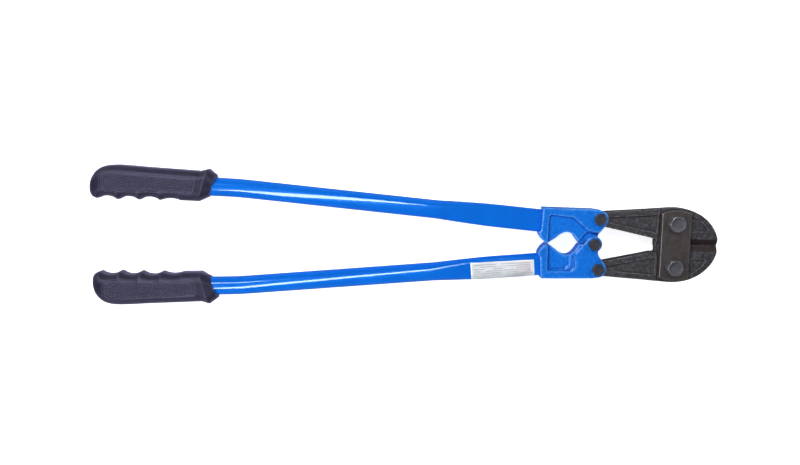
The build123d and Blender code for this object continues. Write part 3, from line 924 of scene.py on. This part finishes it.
def mark_knurl(mesh, side):
    """Painted shade in the grooves of the knurling and painted highlights on its tips."""
    co = get_points(mesh) / MM
    x, y = co[:, 0], co[:, 1] * side
    panel = fade(panel_distance(x, y, side), PANEL_EASE, 0.0) * (np.abs(co[:, 2] - MID) > FACE_FROM)
    tip = knurl(x, y)
    marks = {"edge": np.clip(1.5 * tip - 0.35, 0, 1), "hollow": np.clip(1.0 - 2.6 * tip, 0, 1)}
    for layer_name, mark in marks.items():
        store(mesh, layer_name, stored(mesh, layer_name) * (1 - panel) + mark * panel)


def grip_stations():
    """Sections along the grip: inner x and y, outer x and y, half thickness, corner radius."""
    dome = ((0.0, 51.5, 60.0, 5.0, 4.0), (0.35, 49.8, 63.2, 7.8, 5.6), (1.2, 48.3, 66.0, 10.0, 7.0),
            (2.6, 46.7, 69.4, 12.0, 8.2), (4.5, 45.4, 72.4, 13.6, 9.2), (6.8, 44.5, 75.3, 14.8, 10.0),
            (9.5, 43.9, 78.0, 15.6, 10.7), (13.0, 43.5, 80.5, 16.1, 11.3), (17.0, 43.3, 82.3, 16.35, 11.7))
    back = ((BUTT_X + 22.0, 83.5), (-345.5, 84.0), (-338.5, 84.1), (-320.5, 83.1), (-302.5, 81.8),
            (-264.5, 79.7))
    waist = (-250.5, 42.7, -242.5, 78.4, 15.9, GRIP_ROUND)
    flare = (-244.1, 42.5, -233.1, 81.2, GRIP_HALF, GRIP_ROUND)
    collar = (-232.3, 48.0, COLLAR_X, 74.0, 12.6, GRIP_ROUND)
    rows = [(BUTT_X + x, inner, BUTT_X + x, outer, half, corner) for x, inner, outer, half, corner in dome]
    rows += [(x, INNER_Y, x, outer, GRIP_HALF, GRIP_ROUND) for x, outer in back]
    return np.array([*rows, waist, flare, collar])


def close_stations(table):
    """The stations every half millimetre, eased, with the finger grooves cut in."""
    middle_x = (table[:, 0] + table[:, 2]) / 2
    steps = np.hypot(np.diff(middle_x), np.diff(table[:, 3]) * 0.8)
    place = np.concatenate([[0], np.cumsum(steps)])
    spots = np.arange(0, place[-1], 0.5)
    dense = np.stack([np.interp(spots, place, column) for column in table.T], axis=1)
    dense[:, 1] += groove_depth(dense[:, 0])
    return np.stack([soften(column, 5) for column in dense.T], axis=1)


def grip_ring(station):
    """One section: a rounded rectangle from the station's inner point to its outer one."""
    inner_x, inner_y, outer_x, outer_y, half, corner = station
    width = math.hypot(outer_x - inner_x, outer_y - inner_y)
    across = ((outer_x - inner_x) / width, (outer_y - inner_y) / width)
    section = rounded_ring(width, half, corner)
    ring = np.empty((len(section), 3))
    ring[:, 0] = (inner_x + outer_x) / 2 + across[0] * section[:, 0]
    ring[:, 1] = (inner_y + outer_y) / 2 + across[1] * section[:, 0]
    ring[:, 2] = section[:, 1]
    return ring


def grip_mouth(last, station):
    """From the collar's last ring over its end face and down the bore that the tube fills."""
    radius = TUBE_OD / 2 + 0.06
    axis = float(axis_y(COLLAR_X))
    angle = np.arctan2(last[:, 2], last[:, 1] - axis)
    slope = (station[2] - station[0]) / (station[3] - station[1])
    bore = np.empty_like(last)
    bore[:, 1] = axis + radius * np.cos(angle)
    bore[:, 2] = radius * np.sin(angle)
    bore[:, 0] = station[0] + (bore[:, 1] - station[1]) * slope
    rings = [last + (bore - last) * share for share in (0.08, 0.5, 0.92)]
    for depth in (0.0, 0.6, 6.0, 30.0):
        rings.append(bore + np.array([-depth, depth * TUBE_SLOPE, 0.0]))
    return rings


def grip_piece(name, node, side):
    """Moulded grip, lofted from butt to collar on one side and mirrored for the other."""
    table = grip_stations()
    dense = close_stations(table)
    rings = np.array([grip_ring(station) for station in dense])
    middle_y = (dense[:, 1] + dense[:, 3])[:, None] / 2
    rings = textured(rings, middle_y, side)
    centre = rings[0].mean(axis=0)
    butt = [centre + (rings[0] - centre) * share for share in (0.02, 0.3, 0.6, 0.85)]
    everything = np.array([*butt, *rings, *grip_mouth(rings[-1], table[-1])])
    everything[..., 2] += MID
    everything[..., 1] *= side
    mesh = grid_mesh(name, everything, cap=True)
    clean(mesh)
    co = get_points(mesh)
    dip = 0.05 * MM * (value_noise(co, 7 * MM, 51 + side) - 1)
    set_points(mesh, clip_to_node(co + normals_of(mesh) * dip[:, None], node))
    mark_edges(mesh, 0.5 * MM, 1.6)
    mark_knurl(mesh, side)
    finish_mesh(mesh)
    adopt(add_object(name, mesh), node)


grip_piece("moulded_grip_upper", "grip_upper", 1)
grip_piece("moulded_grip_lower", "grip_lower", -1)


# ------------------------------------------------------------------ label
LABEL_LOW, LABEL_HIGH = box_mm("label")
LABEL_INNER_Y = (25.5, 20.0)
LABEL_FOLD = 0.9
LABEL_THICK = 0.12
LABEL_MARGIN = 0.2


def label_row(x, share, count):
    """Points on the tube's skin at x, from the label's inner edge over the front to its fold."""
    ring = tube_ring(x, LABEL_THICK, -1)
    out = -(ring[:, 1] + float(axis_y(x)))
    rise = ring[:, 2] - MID
    angle = np.arctan2(rise, out)
    order = np.argsort(angle)
    ring, rise, angle = ring[order], rise[order], angle[order]
    upper = angle > 0.05
    near = np.abs(angle) < 0.5
    inner_y = -(LABEL_INNER_Y[0] + (LABEL_INNER_Y[1] - LABEL_INNER_Y[0]) * share)
    first = np.interp(inner_y, ring[upper, 1], angle[upper])
    last = np.interp(-LABEL_FOLD, rise[near], angle[near])
    fine = np.linspace(first, last, 400)
    line = np.stack([np.interp(fine, angle, ring[:, k]) for k in range(3)], axis=1)
    length = np.concatenate([[0], np.cumsum(np.linalg.norm(np.diff(line, axis=0), axis=1))])
    spots = np.linspace(0, length[-1], count)
    return np.stack([np.interp(spots, length, line[:, k]) for k in range(3)], axis=1)


def face_up(mesh):
    """Turns an open sheet's faces all one way, with the front upwards."""
    clean(mesh)
    if sum(face.normal.z * face.area for face in mesh.polygons) < 0:
        mesh.flip_normals()


def label_piece(name, count=46):
    """Foil laid on the lower tube and folded over its outer edge."""
    start, end = LABEL_LOW[0], LABEL_HIGH[0]
    rows = []
    uvs = []
    for x in np.linspace(start + LABEL_MARGIN, end - LABEL_MARGIN, 90):
        share = (x - start) / (end - start)
        rows.append(label_row(x, share, count))
        uvs += [(share, k / (count - 1)) for k in range(count)]
    mesh = grid_mesh(name, rows, closed=False)
    uv_layer = mesh.uv_layers.new(name="print")
    for loop in mesh.loops:
        uv_layer.data[loop.index].uv = uvs[loop.vertex_index]
    face_up(mesh)
    finish_mesh(mesh)
    obj = add_object(name, mesh)
    thick = obj.modifiers.new("thickness", "SOLIDIFY")
    thick.thickness = LABEL_THICK * MM
    thick.offset = 1.0
    adopt(obj, "label")


label_piece("foil_label")


# ------------------------------------------------------------------ floor, light, camera
FLOOR_GAP = 0.0004
FLOOR_HALF = 7.0
BACKDROP_R = 6500.0
BACKDROP_SIDES = 64


def pale_material():
    n = Nodes("pale_floor")
    n.set(Metallic=0.0, Emission_Color=(1.0, 1.0, 1.0, 1.0), Emission_Strength=0.85)
    n.colour(n.ramp(n.noise(0.25, 3.0), (0.3, 0.88), (0.7, 0.92)))
    n.roughness(n.ramp(n.noise(0.08, 3.0), (0.3, 0.85), (0.7, 0.95)))
    return n.material


def floor_piece(level):
    """Plain pale floor just under the tool. It isn't mirrored in the gloss."""
    mesh = bpy.data.meshes.new("floor")
    corners = [(a * FLOOR_HALF, b * FLOOR_HALF, level) for a, b in ((-1, -1), (1, -1), (1, 1), (-1, 1))]
    mesh.from_pydata(corners, [], [(0, 1, 2, 3)])
    mesh.materials.append(pale_material())
    floor = add_object("floor", mesh)
    floor.visible_glossy = False


def backdrop_piece(level):
    """A round wall far out, seen by the camera only, so that low views have no horizon."""
    turn = np.linspace(0, 2 * math.pi, BACKDROP_SIDES, endpoint=False)
    x, y = BACKDROP_R * np.cos(turn), BACKDROP_R * np.sin(turn)
    rings = [np.stack([x, y, np.full(BACKDROP_SIDES, z)], axis=1) for z in (level / MM, BACKDROP_R)]
    wall = grid_mesh("backdrop", rings, flip=True)
    wall.materials.append(pale_material())
    backdrop = add_object("backdrop", wall)
    backdrop.visible_diffuse = False
    backdrop.visible_glossy = False
    backdrop.visible_shadow = False


def area_light(name, place, target, size, power):
    data = bpy.data.lights.new(name, "AREA")
    data.shape = "RECTANGLE"
    data.size, data.size_y = size
    data.energy = power
    light = bpy.data.objects.new(name, data)
    bpy.context.scene.collection.objects.link(light)
    light.location = place
    light.rotation_mode = "QUATERNION"
    light.rotation_quaternion = (Vector(target) - Vector(place)).to_track_quat("-Z", "Y")
    return light


def strip_light(start, end, width, power):
    """A long narrow light between two points, facing down: the streak along the tubes."""
    middle = (Vector(start) + Vector(end)) / 2
    along = Vector(end) - Vector(start)
    light = area_light("strip", middle, middle - Vector((0, 0, 1)), (along.length, width), power)
    axis = along.normalized()
    normal = Vector((0, 0, 1)) - axis * axis.z
    normal.normalize()
    light.rotation_quaternion = Matrix((axis, normal.cross(axis), normal)).transposed().to_quaternion()
    light.visible_diffuse = False


def studio_world(strength):
    world = bpy.data.worlds.new("studio")
    world.use_nodes = True
    background = world.node_tree.nodes["Background"]
    background.inputs["Color"].default_value = (1.0, 1.0, 1.0, 1.0)
    background.inputs["Strength"].default_value = strength
    bpy.context.scene.world = world


def place_camera(target, tilt, roll, distance, width):
    """Looks down at target from tilt off the vertical, towards +Y. width is what it sees across there."""
    sensor = 36.0
    right_flat = Vector((1.0, 0.0, 0.0))
    toward = Vector((0.0, math.sin(tilt), math.cos(tilt)))
    up_flat = Vector((0.0, math.cos(tilt), -math.sin(tilt)))
    right = right_flat * math.cos(roll) + up_flat * math.sin(roll)
    up = up_flat * math.cos(roll) - right_flat * math.sin(roll)
    data = bpy.data.cameras.new("camera")
    data.sensor_width = sensor
    data.lens = sensor * distance / width
    camera = bpy.data.objects.new("camera", data)
    bpy.context.scene.collection.objects.link(camera)
    pose = Matrix((right, up, toward)).transposed().to_4x4()
    pose.translation = target + toward * distance
    camera.matrix_world = pose
    bpy.context.scene.camera = camera


floor_piece(CAD_LOW.z - FLOOR_GAP)
backdrop_piece(CAD_LOW.z - FLOOR_GAP)
area_light("key", (-1.0, 1.15, 1.5), (0.0, 0.0, 0.0), (0.7, 0.5), 26.0)
area_light("fill", (-0.95, -1.5, 1.1), (0.0, 0.0, 0.0), (0.9, 0.6), 27.0).visible_glossy = False
area_light("side", (1.4, 0.55, 1.3), (0.0, 0.0, 0.0), (0.7, 0.9), 10.0)
strip_light((-0.50, -0.80, 1.2), (0.12, 1.15, 1.2), 0.17, 26.0)
studio_world(0.14)
place_camera(target=Vector((-0.0057, 0.00879, MID * MM)), tilt=math.radians(7.7), roll=math.radians(1.022),
             distance=1.0, width=0.9576)
bpy.context.scene.view_settings.view_transform = "Standard"
